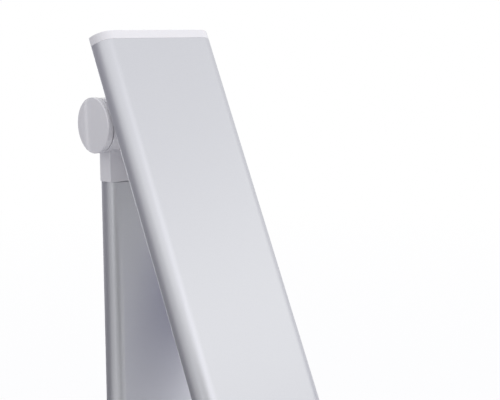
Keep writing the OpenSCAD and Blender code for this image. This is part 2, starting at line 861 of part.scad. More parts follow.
module light_frame() {
    color(white_plastic) in_head() translate([0, back_y, 0]) difference() {
        translate([-frame_half, 0, -head_below])
            cube([2 * frame_half, frame_t, head_below - bracket_below]);
        translate([-head_w / 2 + frame_border, -over, -head_below + frame_border])
            cube([head_w - 2 * frame_border, frame_t + 2 * over,
                  head_below - bracket_below - 2 * frame_border]);
    }
}

module diffuser() {
    color("#f7f7f2") in_head() translate([-diffuser_half, back_y - diffuser_seat, -head_below + seat_gap])
        cube([2 * diffuser_half, diffuser_t, head_below - bracket_below - 2 * seat_gap]);
}

module head_lead() { color(dark) in_head() tube(head_lead_route, lead_r); }

base_housing();
base_deck();
base_plate();
anti_slip_pad();
ballast();
housing_screws();
pedestal();
pedestal_screws();
control_board();
board_screws();
board_parts();
tact_switches();
dc_socket();
dc_socket_pin();
socket_lead();
base_lead();
lower_cover_left();
lower_cover_right();
power_button();
power_plunger();
brightness_button();
brightness_plunger();
colour_button();
colour_plunger();
column_tube();
column_foot();
foot_screws();
column_neck();
neck_screws();
column_lead();
lower_axle();
lower_axle_nuts();
lower_wave_washers();
lower_friction_washers();
upper_cover_left();
upper_cover_right();
head_shell();
head_cap_upper();
head_cap_lower();
hinge_bracket();
bracket_screws();
upper_axle();
upper_axle_nuts();
upper_wave_washers();
upper_friction_washers();
led_board();
led_chips();
led_connector();
light_frame();
diffuser();
head_lead();
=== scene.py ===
import json
import math
from contextlib import contextmanager

import bmesh
import bpy
from mathutils import Matrix, Vector


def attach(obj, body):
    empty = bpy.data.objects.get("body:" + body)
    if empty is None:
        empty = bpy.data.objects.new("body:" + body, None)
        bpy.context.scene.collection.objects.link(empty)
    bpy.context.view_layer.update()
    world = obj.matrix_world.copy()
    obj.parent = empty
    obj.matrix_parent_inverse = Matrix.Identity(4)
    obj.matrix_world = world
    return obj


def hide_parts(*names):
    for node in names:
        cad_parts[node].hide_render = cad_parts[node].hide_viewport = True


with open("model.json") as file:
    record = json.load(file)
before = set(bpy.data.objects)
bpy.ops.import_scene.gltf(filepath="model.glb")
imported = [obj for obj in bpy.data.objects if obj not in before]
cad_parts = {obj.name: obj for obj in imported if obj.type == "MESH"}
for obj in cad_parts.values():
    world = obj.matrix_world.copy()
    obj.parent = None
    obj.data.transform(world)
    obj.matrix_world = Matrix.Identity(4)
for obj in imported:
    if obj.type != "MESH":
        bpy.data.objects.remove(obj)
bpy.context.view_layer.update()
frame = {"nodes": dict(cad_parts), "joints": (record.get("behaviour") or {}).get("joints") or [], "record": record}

scene = bpy.context.scene
MM = 0.001
X, Y, Z = 0, 1, 2

# Frame: the hinge axes, and the head's own upright frame about the upper hinge
joints = {joint["name"]: joint for joint in frame["joints"]}
lower_hinge = Vector(joints["column_tilt"]["pos_m"])
upper_hinge = Vector(joints["head_tilt"]["pos_m"])
head_lean = math.radians(-joints["head_tilt"]["range_deg"][0])
in_head = Matrix.Translation(upper_hinge) @ Matrix.Rotation(-head_lean, 4, "X")
upright = Matrix.Identity(4)
slot_of = {part["node"]: part["material_slot"] for part in frame["record"]["subparts"]}
body_of = {node: body for body, nodes in frame["record"]["behaviour"]["bodies"].items() for node in nodes}


def points_of(node, place):
    """The points of a CAD node, in a frame of its own."""
    back = place.inverted()
    return [back @ vertex.co for vertex in frame["nodes"][node].data.vertices]


def corners(points):
    low = Vector(min(point[axis] for point in points) for axis in (X, Y, Z))
    high = Vector(max(point[axis] for point in points) for axis in (X, Y, Z))
    return low, high


def extent(node, place=upright):
    """Lowest and highest corner of a CAD node, in a frame of its own."""
    return corners(points_of(node, place))


def each_extent(node, parting_axes, place=upright):
    """Corners of each of a node's repeated solids, parted at its middle along some axes."""
    low, high = extent(node, place)
    middle = (low + high) / 2
    groups = {}
    for point in points_of(node, place):
        sides = tuple(point[axis] > middle[axis] for axis in parting_axes)
        groups.setdefault(sides, []).append(point)
    for group in groups.values():
        yield corners(group)


tube_low, tube_high = extent("column_tube")
deck_low, deck_high = extent("base_deck")

# Camera: the photograph's viewing angle, found from the outlines of the head, the cover and the column
CAMERA_LENS = 75
CAMERA_NEAR = 10 * MM
CAMERA_AZIMUTH = math.radians(41.01)
CAMERA_ELEVATION = math.radians(9.64)
CAMERA_DISTANCE = 496.1 * MM
HINGE_LEFT_OF_CENTRE = 46.04 * MM
HINGE_ABOVE_CENTRE = 37.58 * MM


def set_camera():
    backward = Vector((-math.sin(CAMERA_AZIMUTH) * math.cos(CAMERA_ELEVATION),
                       -math.cos(CAMERA_AZIMUTH) * math.cos(CAMERA_ELEVATION),
                       math.sin(CAMERA_ELEVATION)))
    rightward = Vector((math.cos(CAMERA_AZIMUTH), -math.sin(CAMERA_AZIMUTH), 0))
    upward = backward.cross(rightward)
    camera = bpy.data.objects.new("camera", bpy.data.cameras.new("camera"))
    scene.collection.objects.link(camera)
    camera.data.lens = CAMERA_LENS
    camera.data.clip_start = CAMERA_NEAR
    camera.location = (upper_hinge + backward * CAMERA_DISTANCE
                       + rightward * HINGE_LEFT_OF_CENTRE - upward * HINGE_ABOVE_CENTRE)
    camera.rotation_euler = (math.pi / 2 - CAMERA_ELEVATION, 0, -CAMERA_AZIMUTH)
    scene.camera = camera


# Modelling by hand
# Cosine of the angle to an axis from which an edge or a face counts as lying along it
ALIGNED = 0.999
SAME_PLACE = 0.01 * MM
WELD_WITHIN = 0.002 * MM
# How far a cutter runs past the face where it enters, so that no two faces coincide
PAST_END = 1 * MM
ROUND_PROFILE = 0.5
ROD_SIDES = 96
SOFT_STEPS = 3
SOFT_FROM = math.radians(35)
TURN_TO_AXIS = ((0, math.pi / 2, 0), (-math.pi / 2, 0, 0), (0, 0, 0))


def alone(piece):
    bpy.ops.object.select_all(action="DESELECT")
    piece.select_set(True)
    bpy.context.view_layer.objects.active = piece


@contextmanager
def editing(piece):
    alone(piece)
    bpy.ops.object.mode_set(mode="EDIT")
    yield
    bpy.ops.object.mode_set(mode="OBJECT")


def choose(piece, kind, test):
    """Selects the edges or faces, in edit mode, that pass a test of their place or direction."""
    bpy.ops.mesh.select_mode(type=kind)
    bpy.ops.mesh.select_all(action="DESELECT")
    mesh = bmesh.from_edit_mesh(piece.data)
    mesh.normal_update()
    for item in mesh.edges if kind == "EDGE" else mesh.faces:
        item.select_set(bool(test(item)))
    bmesh.update_edit_mesh(piece.data)


def runs_along(edge, axis):
    return abs((edge.verts[1].co - edge.verts[0].co).normalized()[axis]) > ALIGNED


def lies_at(edge, axis, value):
    return all(abs(vertex.co[axis] - value) < SAME_PLACE for vertex in edge.verts)


def looks_along(face, axis, way):
    return face.normal[axis] * way > ALIGNED


def round_edges(piece, test, radius, steps):
    with editing(piece):
        choose(piece, "EDGE", test)
        bpy.ops.mesh.bevel(offset=radius, segments=steps, profile=ROUND_PROFILE,
                           affect="EDGES", clamp_overlap=True)


def add_block(name, low, high):
    bpy.ops.object.select_all(action="DESELECT")
    bpy.ops.mesh.primitive_cube_add(size=1, location=(low + high) / 2)
    piece = bpy.context.object
    piece.name = name
    piece.scale = high - low
    bpy.ops.object.transform_apply(location=True, rotation=True, scale=True)
    return piece


def add_rod(name, centre, radius, length, axis, sides=ROD_SIDES):
    bpy.ops.object.select_all(action="DESELECT")
    bpy.ops.mesh.primitive_cylinder_add(
        vertices=sides, radius=radius, depth=length, location=centre, rotation=TURN_TO_AXIS[axis])
    piece = bpy.context.object
    piece.name = name
    bpy.ops.object.transform_apply(location=True, rotation=True, scale=True)
    return piece


def combine(piece, tools, operation):
    """Joins other solids to a piece, or cuts them out of it, and removes them."""
    for tool in tools:
        alone(piece)
        modifier = piece.modifiers.new("combine", "BOOLEAN")
        modifier.operation = operation
        modifier.solver = "EXACT"
        modifier.object = tool
        bpy.ops.object.modifier_apply(modifier=modifier.name)
        bpy.data.objects.remove(tool)
    with editing(piece):
        bpy.ops.mesh.select_all(action="SELECT")
        bpy.ops.mesh.remove_doubles(threshold=WELD_WITHIN)


def soften(piece, radius, steps=SOFT_STEPS, from_angle=SOFT_FROM):
    """Gives every crisp edge a small radius."""
    alone(piece)
    modifier = piece.modifiers.new("soften", "BEVEL")
    modifier.width = radius
    modifier.segments = steps
    modifier.limit_method = "ANGLE"
    modifier.angle_limit = from_angle
    modifier.use_clamp_overlap = True
    modifier.miter_outer = "MITER_ARC"
    bpy.ops.object.modifier_apply(modifier=modifier.name)


def join_pieces(pieces):
    bpy.ops.object.select_all(action="DESELECT")
    for piece in pieces:
        piece.select_set(True)
    bpy.context.view_layer.objects.active = pieces[0]
    bpy.ops.object.join()
    return pieces[0]


# Materials
NOISE_LOW = 0.3
NOISE_HIGH = 0.7
RELIEF_HEIGHT = 0.02 * MM
GRAIN_DETAIL = 3
# Places of a Mix node's colour sockets, which share their names with its other sockets
MIX_FIRST = 6
MIX_SECOND = 7
MIX_RESULT = 2


def linear(hex_colour):
    """An sRGB hex value as linear RGBA."""
    channels = [int(hex_colour[i:i + 2], 16) / 255 for i in (1, 3, 5)]
    return (*[c / 12.92 if c <= 0.04045 else ((c + 0.055) / 1.055) ** 2.4 for c in channels], 1)


def add_node(tree, kind, inputs=None, **settings):
    """Adds a node with its settings, and sets or links its inputs."""
    node = tree.nodes.new(kind)
    for name, value in settings.items():
        setattr(node, name, value)
    for name, value in (inputs or {}).items():
        if isinstance(value, bpy.types.NodeSocket):
            tree.links.new(value, node.inputs[name])
        else:
            node.inputs[name].default_value = value
    return node


def new_material(name):
    """A material with its tree, its shader, and Object coordinates in metres."""
    material = bpy.data.materials.new(name)
    material.use_nodes = True
    tree = material.node_tree
    place = add_node(tree, "ShaderNodeTexCoord").outputs["Object"]
    return material, tree, tree.nodes["Principled BSDF"], place


def grain(tree, shader, place, size, colours, roughness, bump, detail=GRAIN_DETAIL):
    """Drives colour, roughness and bump from one fine noise whose grains have a real size."""
    noise = add_node(tree, "ShaderNodeTexNoise", {"Vector": place, "Scale": 1 / size, "Detail": detail})
    colour = add_node(tree, "ShaderNodeMix", {
        "Factor": noise.outputs["Fac"], MIX_FIRST: linear(colours[0]), MIX_SECOND: linear(colours[1])},
        data_type="RGBA")
    tree.links.new(colour.outputs[MIX_RESULT], shader.inputs["Base Color"])
    spread = add_node(tree, "ShaderNodeMapRange", {
        "Value": noise.outputs["Fac"], "From Min": NOISE_LOW, "From Max": NOISE_HIGH,
        "To Min": roughness[0], "To Max": roughness[1]})
    tree.links.new(spread.outputs["Result"], shader.inputs["Roughness"])
    relief = add_node(tree, "ShaderNodeBump", {
        "Height": noise.outputs["Fac"], "Strength": bump, "Distance": RELIEF_HEIGHT})
    tree.links.new(relief.outputs["Normal"], shader.inputs["Normal"])


def blasted_anodised_aluminium():
    # Bead blasting leaves tiny even pits, and the clear oxide keeps the grey soft: wide, silky reflections
    material, tree, shader, place = new_material("blasted_anodised_aluminium")
    shader.inputs["Metallic"].default_value = 1
    # Real pits are near 0.05 mm, drawn at 0.5 mm so that they show
    grain(tree, shader, place, size=0.5 * MM, colours=("#e5e6ea", "#ebecf0"),
          roughness=(0.33, 0.39), bump=0.12)
    return material


def moulded_white_abs():
    # A polished mould leaves a smooth skin: crisp, weak reflections over a soft white body
    material, tree, shader, place = new_material("moulded_white_abs")
    shader.inputs["IOR"].default_value = 1.53
    shader.inputs["Subsurface Weight"].default_value = 0.05
    shader.inputs["Subsurface Radius"].default_value = (1.2 * MM, 1.1 * MM, 1 * MM)
    grain(tree, shader, place, size=0.6 * MM, colours=("#eae9ec", "#efeef1"),
          roughness=(0.05, 0.08), bump=0.02)
    return material


def zinc_plated_steel():
    # Bright zinc on rolled steel: cool grey with a faint cloudy spangle
    material, tree, shader, place = new_material("zinc_plated_steel")
    shader.inputs["Metallic"].default_value = 1
    grain(tree, shader, place, size=2.2 * MM, colours=("#9b9da2", "#b9bbbf"),
          roughness=(0.25, 0.45), bump=0.2)
    return material


def sheet_rubber():
    # Calendered sheet: near black, dull, with a fine pebbled skin
    material, tree, shader, place = new_material("calendered_rubber_sheet")
    shader.inputs["IOR"].default_value = 1.52
    grain(tree, shader, place, size=0.8 * MM, colours=("#262629", "#313135"),
          roughness=(0.75, 0.9), bump=0.6)
    return material


def moulded_black_nylon():
    # Glass-filled nylon: charcoal with a slightly streaky, half-matt skin
    material, tree, shader, place = new_material("moulded_black_nylon")
    shader.inputs["IOR"].default_value = 1.53
    grain(tree, shader, place, size=0.7 * MM, colours=("#1b1b1d", "#27272a"),
          roughness=(0.4, 0.55), bump=0.3)
    return material


def green_solder_mask():
    # Lacquer over etched copper: glossy green, paler where the copper lies under it
    material, tree, shader, place = new_material("green_solder_mask")
    shader.inputs["Coat Weight"].default_value = 0.4
    shader.inputs["Coat Roughness"].default_value = 0.15
    grain(tree, shader, place, size=3 * MM, colours=("#1d4a30", "#3a7a50"),
          roughness=(0.3, 0.4), bump=0.3, detail=0)
    return material


def white_solder_mask():
    # White lacquer that throws the light forward: bright, slightly warm, half gloss
    material, tree, shader, place = new_material("white_solder_mask")
    grain(tree, shader, place, size=3 * MM, colours=("#eceae4", "#f3f2ee"),
          roughness=(0.3, 0.4), bump=0.2, detail=0)
    return material


def extruded_pvc():
    # Soft extruded sheath: pale grey with a waxy, faintly rippled skin
    material, tree, shader, place = new_material("extruded_pvc")
    shader.inputs["IOR"].default_value = 1.53
    grain(tree, shader, place, size=1.5 * MM, colours=("#d6d6d6", "#dfdfe0"),
          roughness=(0.45, 0.6), bump=0.3)
    return material


def cast_phosphor_silicone():
    # Silicone with yellow phosphor grains: dense warm yellow under a glossy top
    material, tree, shader, place = new_material("cast_phosphor_silicone")
    shader.inputs["Coat Weight"].default_value = 0.6
    grain(tree, shader, place, size=0.3 * MM, colours=("#d9b45a", "#efd486"),
          roughness=(0.3, 0.45), bump=0.2)
    return material


def frosted_opal_acrylic():
    # White pigment through the sheet and a frosted skin: milky, soft, with no sharp reflection
    material, tree, shader, place = new_material("frosted_opal_acrylic")
    shader.inputs["IOR"].default_value = 1.49
    shader.inputs["Subsurface Weight"].default_value = 0.3
    shader.inputs["Subsurface Radius"].default_value = (3 * MM, 3 * MM, 2.8 * MM)
    grain(tree, shader, place, size=0.5 * MM, colours=("#f0f0ec", "#f5f5f2"),
          roughness=(0.5, 0.58), bump=0.2)
    return material


finishes = {
    "satin_aluminium": blasted_anodised_aluminium(),
    "white_plastic": moulded_white_abs(),
    "steel": zinc_plated_steel(),
    "rubber": sheet_rubber(),
    "circuit_board": green_solder_mask(),
    "black_plastic": moulded_black_nylon(),
    "lead_sheath": extruded_pvc(),
    "white_board": white_solder_mask(),
    "led": cast_phosphor_silicone(),
    "opal_diffuser": frosted_opal_acrylic(),
}


def give_finish(piece, node):
    """Gives a piece the finish of a CAD node's slot."""
    piece.data.materials.clear()
    piece.data.materials.append(finishes[slot_of[node]])


# Putting a piece in place: edges that turn by more than the angle stay crisp
CRISP_FROM = math.radians(40)
CRISP_FROM_ON_PROFILES = math.radians(30)
CRISP_FROM_ON_FORKS = math.radians(20)


def settle(piece, node, place=upright, crisp_from=CRISP_FROM):
    """Puts a finished piece in place of a CAD node, on that node's body and with its finish."""
    alone(piece)
    piece.matrix_world = place
    bpy.ops.object.transform_apply(location=True, rotation=True, scale=True)
    bpy.ops.object.shade_smooth_by_angle(angle=crisp_from)
    # Flat faces stay flat beside their small rounds
    modifier = piece.modifiers.new("flats", "WEIGHTED_NORMAL")
    modifier.keep_sharp = True
    bpy.ops.object.modifier_apply(modifier=modifier.name)
    give_finish(piece, node)
    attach(piece, body_of[node])
    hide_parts(node)


# Head
HEAD_FRONT_RADIUS = 8.2 * MM
HEAD_FRONT_STEPS = 24
HEAD_BACK_RADIUS = 0.8 * MM
HEAD_BACK_STEPS = 6
HEAD_WALL = 1.6 * MM
CHANNEL_DEPTH = 3 * MM
CAP_EDGE_RADIUS = 0.3 * MM
CAP_EDGE_STEPS = 4
SEAM_CHAMFER = 0.12 * MM
SEAM_STEPS = 2


def round_long_edges(piece, depth, radius, steps):
    """Rounds the long edges of a profile's front or back."""
    round_edges(piece, lambda e: runs_along(e, Z) and lies_at(e, Y, depth), radius, steps)


def round_head_profile(piece, low, high):
    round_long_edges(piece, low.y, HEAD_FRONT_RADIUS, HEAD_FRONT_STEPS)
    round_long_edges(piece, high.y, HEAD_BACK_RADIUS, HEAD_BACK_STEPS)


def break_ends(piece, *ends):
    """Takes the sharp edge off a profile's cut ends."""
    for end in ends:
        round_edges(piece, lambda e: lies_at(e, Z, end), SEAM_CHAMFER, SEAM_STEPS)


def make_head_shell():
    low, high = extent("head_shell", in_head)
    shell = add_block("aluminium_head", low, high)
    round_head_profile(shell, low, high)
    break_ends(shell, low.z, high.z)
    channel = add_block("channel", Vector((low.x + HEAD_WALL, high.y - CHANNEL_DEPTH, low.z - PAST_END)),
                        Vector((high.x - HEAD_WALL, high.y + PAST_END, high.z + PAST_END)))
    combine(shell, [channel], "DIFFERENCE")
    settle(shell, "head_shell", in_head, CRISP_FROM_ON_PROFILES)


def make_head_cap(node, outward):
    low, high = extent(node, in_head)
    shell_low, shell_high = extent("head_shell", in_head)
    if outward > 0:
        seam = shell_high.z
        outer = high.z
        low.z = seam
    else:
        seam = shell_low.z
        outer = low.z
        high.z = seam
    cap = add_block(node + "_moulding", low, high)
    round_head_profile(cap, low, high)
    round_edges(cap, lambda e: lies_at(e, Z, outer), CAP_EDGE_RADIUS, CAP_EDGE_STEPS)
    break_ends(cap, seam)
    settle(cap, node, in_head, CRISP_FROM_ON_PROFILES)


# Light window
FRAME_BORDER = 5 * MM
FRAME_EDGE_RADIUS = 0.25 * MM


def make_light_frame():
    low, high = extent("light_frame", in_head)
    ring = add_block("window_frame", low, high)
    with editing(ring):
        choose(ring, "FACE", lambda f: looks_along(f, Y, 1) or looks_along(f, Y, -1))
        bpy.ops.mesh.inset(thickness=FRAME_BORDER, use_boundary=True)
        bpy.ops.mesh.bridge_edge_loops()
    soften(ring, FRAME_EDGE_RADIUS)
    settle(ring, "light_frame", in_head)


def make_diffuser():
    low, high = extent("diffuser", in_head)
    sheet = add_block("opal_sheet", low, high)
    soften(sheet, FRAME_EDGE_RADIUS)
    settle(sheet, "diffuser", in_head)


# Column: the neck, the foot and the pedestal stand a little proud of its tube
COLUMN_FRONT_RADIUS = 6.6 * MM
COLUMN_FRONT_STEPS = 20
COLUMN_BACK_RADIUS = 0.4 * MM
COLUMN_BACK_STEPS = 6
NECK_PROUD = 0.35 * MM
NECK_HALF_WIDTH = tube_high.x + NECK_PROUD
NECK_HALF_DEPTH = (tube_high.y - tube_low.y) / 2 + NECK_PROUD
NECK_CHAMFER = 0.35 * MM
CHAMFER_STEPS = 1


def make_column_tube():
    tube = add_block("aluminium_column", tube_low, tube_high)
    round_long_edges(tube, tube_low.y, COLUMN_FRONT_RADIUS, COLUMN_FRONT_STEPS)
    round_long_edges(tube, tube_high.y, COLUMN_BACK_RADIUS, COLUMN_BACK_STEPS)
    break_ends(tube, tube_low.z, tube_high.z)
    settle(tube, "column_tube", crisp_from=CRISP_FROM_ON_PROFILES)


def add_slab(name, hinge, foot, top):
    """A chamfered slab as wide and deep as the neck, between two heights."""
    slab = add_block(name, Vector((-NECK_HALF_WIDTH, hinge.y - NECK_HALF_DEPTH, foot)),
                     Vector((NECK_HALF_WIDTH, hinge.y + NECK_HALF_DEPTH, top)))
    round_edges(slab, lambda e: runs_along(e, Z), NECK_CHAMFER, CHAMFER_STEPS)
    return slab


# Hinges
KNUCKLE_RADIUS = 12.5 * MM
KNUCKLE_GAP = 0.3 * MM
SHOULDER_GAP = 3 * KNUCKLE_GAP
MIDDLE_HALF = 14.3 * MM
FORK_INNER = 15 * MM
FORK_OUTER = extent("column_neck")[1].x
WEB_HALF_HEIGHT = 9 * MM
AXLE_BORE_RADIUS = 5.05 * MM
NUT_RECESS_RADIUS = 9.6 * MM
NUT_RECESS_DEPTH = 8.3 * MM
PLASTIC_EDGE_RADIUS = 0.2 * MM
PLASTIC_EDGE_STEPS = 2
PLASTIC_SOFT_FROM = math.radians(50)
PEDESTAL_SUNK = 2 * MM
SEAM_HEIGHT = 0.4 * MM
SEAM_DEPTH = 1.6 * MM


def soften_plastic(piece):
    soften(piece, PLASTIC_EDGE_RADIUS, PLASTIC_EDGE_STEPS, PLASTIC_SOFT_FROM)


def bore_for_axle(piece, hinge, half_length):
    combine(piece, [add_rod("bore", hinge, AXLE_BORE_RADIUS, 2 * half_length, X)], "DIFFERENCE")


def make_fork(name, hinge, foot):
    """Two outer knuckles on a slab that runs down from the hinge axis, with room for the middle knuckle."""
    fork = add_slab(name, hinge, foot, hinge.z)
    # The knuckles start inside the room that is cut for the middle one
    knuckle_start = FORK_INNER - PAST_END
    knuckles = []
    for side in (-1, 1):
        centre = hinge + Vector((side * (knuckle_start + FORK_OUTER) / 2, 0, 0))
        knuckles.append(add_rod("knuckle", centre, KNUCKLE_RADIUS, FORK_OUTER - knuckle_start, X))
    combine(fork, knuckles, "UNION")
    room = add_rod("room", hinge, KNUCKLE_RADIUS + KNUCKLE_GAP, 2 * FORK_INNER, X)
    combine(fork, [room], "DIFFERENCE")
    bore_for_axle(fork, hinge, FORK_OUTER + PAST_END)
    recess_length = NUT_RECESS_DEPTH + PAST_END
    for side in (-1, 1):
        centre = hinge + Vector((side * (FORK_OUTER + PAST_END - recess_length / 2), 0, 0))
        recess = add_rod("nut_recess", centre, NUT_RECESS_RADIUS, recess_length, X)
        combine(fork, [recess], "DIFFERENCE")
    soften_plastic(fork)
    return fork


def add_seam_step(piece, hinge, foot, top):
    """Fills a seam, but for a groove along the front and sides that shows as a dark line."""
    half_width = NECK_HALF_WIDTH - NECK_PROUD
    half_depth = NECK_HALF_DEPTH - NECK_PROUD
    front = hinge.y - half_depth
    back = hinge.y + half_depth
    core = add_block("core", Vector((SEAM_DEPTH - half_width, front + SEAM_DEPTH, foot)),
                     Vector((half_width - SEAM_DEPTH, back, top)))
    land = add_block("land", Vector((-half_width, back - SEAM_DEPTH, foot)),
                     Vector((half_width, back, top)))
    combine(piece, [core, land], "UNION")


def make_column_neck():
    foot = tube_high.z + SEAM_HEIGHT
    neck = make_fork("column_neck_moulding", upper_hinge, foot)
    add_seam_step(neck, upper_hinge, tube_high.z, foot + SEAM_HEIGHT)
    settle(neck, "column_neck", crisp_from=CRISP_FROM_ON_FORKS)


def make_column_foot():
    shoulder = lower_hinge.z + KNUCKLE_RADIUS + SHOULDER_GAP
    foot = add_slab("column_foot_moulding", lower_hinge, shoulder, tube_low.z - SEAM_HEIGHT)
    link = add_block("link", Vector((-MIDDLE_HALF, lower_hinge.y - NECK_HALF_DEPTH, lower_hinge.z)),
                     Vector((MIDDLE_HALF, lower_hinge.y + NECK_HALF_DEPTH, shoulder + SEAM_HEIGHT)))
    knuckle = add_rod("knuckle", lower_hinge, KNUCKLE_RADIUS - KNUCKLE_GAP, 2 * MIDDLE_HALF, X)
    combine(foot, [link, knuckle], "UNION")
    bore_for_axle(foot, lower_hinge, MIDDLE_HALF + PAST_END)
    soften_plastic(foot)
    add_seam_step(foot, lower_hinge, tube_low.z - 2 * SEAM_HEIGHT, tube_low.z)
    settle(foot, "column_foot", crisp_from=CRISP_FROM_ON_FORKS)


def make_pedestal():
    pedestal = make_fork("pedestal_moulding", lower_hinge, deck_low.z - PEDESTAL_SUNK)
    settle(pedestal, "pedestal", crisp_from=CRISP_FROM_ON_FORKS)


# End covers: a crowned disc with a plug that sits in the nut recess
COVER_SIDES = 128
COVER_GAP = 0.6 * MM
COVER_RIM = 0.4 * MM
COVER_RIM_STEPS = 5
COVER_CROWN = 0.2 * MM
COVER_RINGS = 8
PLUG_RADIUS = 9.4 * MM
PLUG_DEPTH = 2 * MM
END_COVERS = (
    ("upper_cover_left", upper_hinge, -1),
    ("upper_cover_right", upper_hinge, 1),
    ("lower_cover_left", lower_hinge, -1),
    ("lower_cover_right", lower_hinge, 1),
)


def make_end_cover(node, hinge, outward):
    low, high = extent(node)
    radius = (high.z - low.z) / 2
    outer = high.x if outward > 0 else low.x
    inner = hinge.x + outward * (FORK_OUTER + COVER_GAP)
    middle = Vector(((outer + inner) / 2, hinge.y, hinge.z))
    cover = add_rod(node + "_disc", middle, radius, abs(outer - inner), X, COVER_SIDES)
    rim = outer - outward * COVER_CROWN
    with editing(cover):
        choose(cover, "FACE", lambda f: looks_along(f, X, outward))
        bpy.ops.transform.translate(value=(rim - outer, 0, 0))
    round_edges(cover, lambda e: lies_at(e, X, rim), COVER_RIM, COVER_RIM_STEPS)
    round_edges(cover, lambda e: lies_at(e, X, inner), PLASTIC_EDGE_RADIUS, PLASTIC_EDGE_STEPS)
    with editing(cover):
        choose(cover, "FACE", lambda f: looks_along(f, X, outward))
        # Each ring rises less than the one outside it, as on a shallow dome
        for ring in range(1, COVER_RINGS):
            bpy.ops.mesh.inset(thickness=(radius - COVER_RIM) / COVER_RINGS)
            rise = COVER_CROWN * (2 - (2 * ring - 1) / COVER_RINGS) / COVER_RINGS
            bpy.ops.transform.translate(value=(outward * rise, 0, 0))
    plug_end = Vector((inner - outward * PLUG_DEPTH, hinge.y, hinge.z))
    plug = add_rod("plug", (middle + plug_end) / 2, PLUG_RADIUS, (middle - plug_end).length, X)
    combine(cover, [plug], "UNION")
    settle(cover, node, crisp_from=CRISP_FROM_ON_PROFILES)


# Bracket and screws
SCREW_SIDES = 48
SCREW_HEAD_RADIUS = 2.8 * MM
SCREW_HEAD_HEIGHT = 1.2 * MM
SCREW_EDGE_RADIUS = SCREW_HEAD_HEIGHT / 4
SCREW_EDGE_STEPS = 3
SCREW_ROOM = 0.2 * MM
COUNTERBORE_LENGTH = 1.4 * MM
CROSS_WIDTH = 0.9 * MM
CROSS_LENGTH = 3.2 * MM
CROSS_DEPTH = 0.7 * MM
# Node, the axis of its screws and the way that their heads look, the axes that part them, and their frame
SCREWS = (
    ("bracket_screws", Y, 1, (X, Z), in_head),
    ("neck_screws", Y, 1, (X,), upright),
    ("foot_screws", Y, 1, (X,), upright),
    ("housing_screws", Z, -1, (X, Y), upright),
    ("pedestal_screws", Z, -1, (X, Y), upright),
)


def make_hinge_bracket():
    low, high = extent("hinge_bracket", in_head)
    frame_low, frame_high = extent("light_frame", in_head)
    # The hinge axis runs through the origin of the head's own frame
    hinge = Vector((0, 0, 0))
    bracket = add_block("hinge_bracket_moulding", Vector((low.x, frame_low.y, low.z)),
                        Vector((high.x, frame_high.y, high.z)))
    web = add_block("web", Vector((-MIDDLE_HALF, frame_low.y, -WEB_HALF_HEIGHT)),
                    Vector((MIDDLE_HALF, 0, WEB_HALF_HEIGHT)))
    knuckle = add_rod("knuckle", hinge, KNUCKLE_RADIUS - KNUCKLE_GAP, 2 * MIDDLE_HALF, X)
    combine(bracket, [web, knuckle], "UNION")
    for screw_low, screw_high in each_extent("bracket_screws", (X, Z), in_head):
        centre = (screw_low + screw_high) / 2
        centre.y = frame_high.y
        counterbore = add_rod("counterbore", centre, SCREW_HEAD_RADIUS + SCREW_ROOM, COUNTERBORE_LENGTH, Y)
        combine(bracket, [counterbore], "DIFFERENCE")
    bore_for_axle(bracket, hinge, MIDDLE_HALF + PAST_END)
    soften_plastic(bracket)
    settle(bracket, "hinge_bracket", in_head)


def make_screws(node, axis, outward, parting_axes, place):
    """Screw heads with a cross recess where the CAD screws have theirs."""
    across = [other for other in (X, Y, Z) if other != axis]
    heads = []
    for low, high in each_extent(node, parting_axes, place):
        radius = (high.x - low.x) / 2
        top = (low + high) / 2
        top[axis] = high[axis] if outward > 0 else low[axis]
        centre = top.copy()
        centre[axis] -= outward * SCREW_HEAD_HEIGHT / 2
        head = add_rod(node + "_heads", centre, radius, SCREW_HEAD_HEIGHT, axis, SCREW_SIDES)
        round_edges(head, lambda e: lies_at(e, axis, top[axis]), SCREW_EDGE_RADIUS, SCREW_EDGE_STEPS)
        slots = []
        for way in across:
            half = Vector((CROSS_WIDTH, CROSS_WIDTH, CROSS_WIDTH)) / 2
            half[way] = CROSS_LENGTH / 2 * radius / SCREW_HEAD_RADIUS
            half[axis] = CROSS_DEPTH
            slots.append(add_block("cross", top - half, top + half))
        combine(head, slots, "DIFFERENCE")
        heads.append(head)
    settle(join_pieces(heads), node, place)


# Base
BASE_CORNER_RADIUS = 22 * MM
BASE_CORNER_STEPS = 20
BASE_EDGE_RADIUS = 2 * MM
BASE_EDGE_STEPS = 6
BASE_WALL = 2.4 * MM
BASE_RIM = 3.4 * MM
DECK_GAP = 0.2 * MM
DECK_EDGE_RADIUS = 0.2 * MM
DECK_EDGE_STEPS = 2
SHOW_GAP = 0.3 * MM
INLET_RADIUS = 4.2 * MM
INLET_CUT = 4 * BASE_WALL
INLET_SIDES = 64
BUTTONS = ("power_button", "brightness_button", "colour_button")
BUTTON_RADIUS = 6.5 * MM
BUTTON_CROWN = 0.5 * MM
BUTTON_CROWN_STEPS = 5
BUTTON_DISH = 0.35 * MM
# How far each ring of the dish steps in, as a share of half the button's radius: wide steps sink less
DISH_STEPS = (0.25, 0.35, 0.5)
FLANGE_GAP = 0.2 * MM
FLANGE_THICKNESS = 1.2 * MM
STEM_RADIUS = 2.2 * MM
STEM_SIDES = 48
roof = deck_low.z - BASE_WALL


